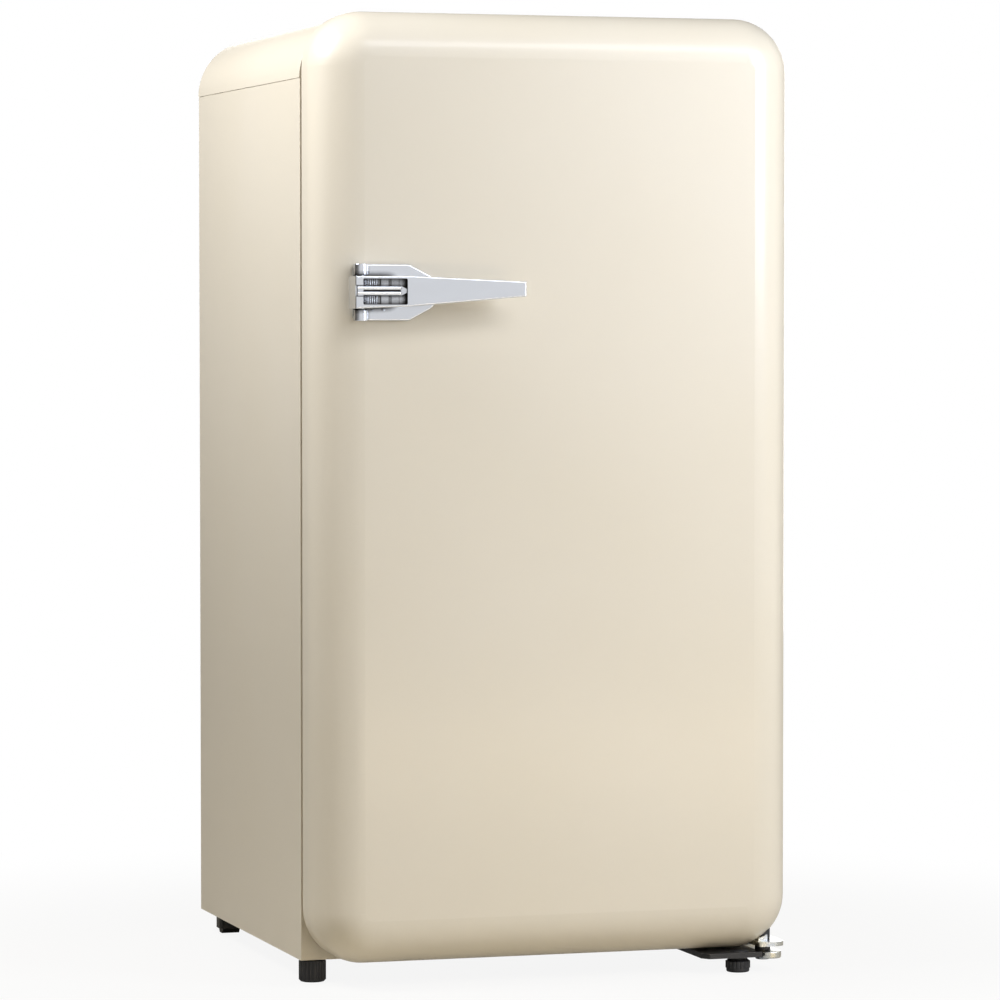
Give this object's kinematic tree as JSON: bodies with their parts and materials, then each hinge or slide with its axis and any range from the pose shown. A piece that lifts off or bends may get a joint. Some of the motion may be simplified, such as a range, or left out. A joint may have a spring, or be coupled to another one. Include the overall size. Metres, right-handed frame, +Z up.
{
  "type": "mini fridge",
  "caption": "Free-standing mini fridge with a bull-nosed cream door hinged on the right, a chrome lever handle, an icebox, glass shelves, a crisper drawer and a rear compressor bay.",
  "frame": {"origin": "on the floor under the middle of the overall footprint, handle to back panel", "axes": "+Z up; the door faces -Y; +X is the hinge side"},
  "size_m": [0.475, 0.505, 0.918],
  "materials": {
    "cream_enamel": "gloss",
    "black_enamel": "satin",
    "zinc_plate": "satin",
    "galvanised_sheet": "satin",
    "chrome": "polished",
    "white_plastic": "gloss",
    "insulation_foam": "matte",
    "seal_rubber": "satin",
    "clear_plastic": "gloss",
    "frosted_plastic": "satin",
    "shelf_glass": "polished",
    "lamp_glass": "polished",
    "aluminium": "satin",
    "black_rubber": "matte",
    "black_plastic": "matte",
    "grey_plastic": "satin",
    "copper": "satin",
    "steel": "satin"
  },
  "bodies": {
    "cabinet": {"side_panel_left": "cream_enamel", "side_panel_right": "cream_enamel", "top_cover": "cream_enamel", "front_rail_lower": "cream_enamel", "back_panel": "galvanised_sheet", "base_plate": "galvanised_sheet", "inner_liner": "white_plastic", "foam_body": "insulation_foam", "drain_tube": "grey_plastic", "evaporator": "aluminium", "liner_lugs": "white_plastic", "drip_tray": "frosted_plastic", "icebox_frame": "white_plastic", "condenser_coil": "steel", "compressor_crossbar": "galvanised_sheet", "compressor": "black_enamel", "compressor_grommets": "black_rubber", "compressor_bolts": "zinc_plate", "relay_cover": "black_plastic", "evaporating_pan": "black_plastic", "refrigerant_lines": "copper", "filter_drier": "copper", "cord_gland": "black_plastic", "glass_shelves": "shelf_glass", "shelf_trims": "white_plastic", "crisper_cover": "shelf_glass", "control_housing": "white_plastic", "thermostat": "grey_plastic", "lamp_holder": "white_plastic", "lamp_bulb": "lamp_glass", "lamp_lens": "clear_plastic", "lamp_switch": "black_plastic", "lower_hinge_plate": "black_enamel", "lower_hinge_bracket": "zinc_plate", "hinge_packer": "steel", "hinge_pins": "steel", "upper_hinge_bracket": "steel", "hinge_screws": "zinc_plate", "foot_insert": "steel", "rear_feet": "black_plastic"},
    "door": {"door_outer_skin": "cream_enamel", "door_liner": "white_plastic", "door_foam": "insulation_foam", "door_gasket": "seal_rubber", "bottle_bin": "clear_plastic", "small_bins": "clear_plastic", "bin_rails": "chrome", "hinge_bushes": "black_plastic", "door_pivot_leaf": "zinc_plate", "handle_base": "chrome", "handle_pin": "steel", "handle_spring": "steel", "handle_screws": "zinc_plate"},
    "handle_lever": {"handle_lever": "chrome"},
    "icebox_flap": {"icebox_flap": "white_plastic"},
    "crisper_drawer": {"crisper_drawer": "clear_plastic"},
    "thermostat_knob": {"thermostat_knob": "grey_plastic"},
    "lamp_switch_plunger": {"lamp_switch_plunger": "white_plastic"},
    "front_foot_left": {"front_foot_left": "black_plastic"},
    "front_foot_right": {"front_foot_right": "black_plastic"}
  },
  "joints": [
    {"name": "door_swing", "type": "hinge", "parent": "cabinet", "child": "door", "pos_m": [0.214, -0.1905, 0.4], "axis": [0, 0, 1], "range_deg": [0, 115]},
    {"name": "handle_pull", "type": "hinge", "parent": "door", "child": "handle_lever", "pos_m": [-0.2005, -0.2315, 0.6546], "axis": [0, 0, -1], "range_deg": [0, 14], "stiffness_Nm_per_rad": 0.6, "springref_deg": -5.73},
    {"name": "icebox_flap_swing", "type": "hinge", "parent": "cabinet", "child": "icebox_flap", "pos_m": [0, -0.0825, 0.858], "axis": [-1, 0, 0], "range_deg": [0, 90]},
    {"name": "crisper_slide", "type": "slide", "parent": "cabinet", "child": "crisper_drawer", "axis": [0, -1, 0], "range_m": [0, 0.1]},
    {"name": "thermostat_turn", "type": "hinge", "parent": "cabinet", "child": "thermostat_knob", "pos_m": [0.15, 0.0485, 0.667], "axis": [-1, 0, 0], "range_deg": [-135, 135]},
    {"name": "lamp_switch_travel", "type": "slide", "parent": "cabinet", "child": "lamp_switch_plunger", "axis": [0, -1, 0], "range_m": [0, 0.006]},
    {"name": "left_foot_turn", "type": "hinge", "parent": "cabinet", "child": "front_foot_left", "pos_m": [-0.222, -0.1335, 0.01], "axis": [0, 0, 1], "continuous": true},
    {"name": "right_foot_turn", "type": "hinge", "parent": "cabinet", "child": "front_foot_right", "pos_m": [0.187, -0.1945, 0.007], "axis": [0, 0, 1], "continuous": true}
  ],
  "couplings": [
    {"joint": "icebox_flap_swing", "follows": "door_swing", "ratio": 0.78},
    {"joint": "crisper_slide", "follows": "door_swing", "m_per_rad": 0.0495},
    {"joint": "lamp_switch_travel", "follows": "door_swing", "m_per_rad": 0.0029}
  ]
}
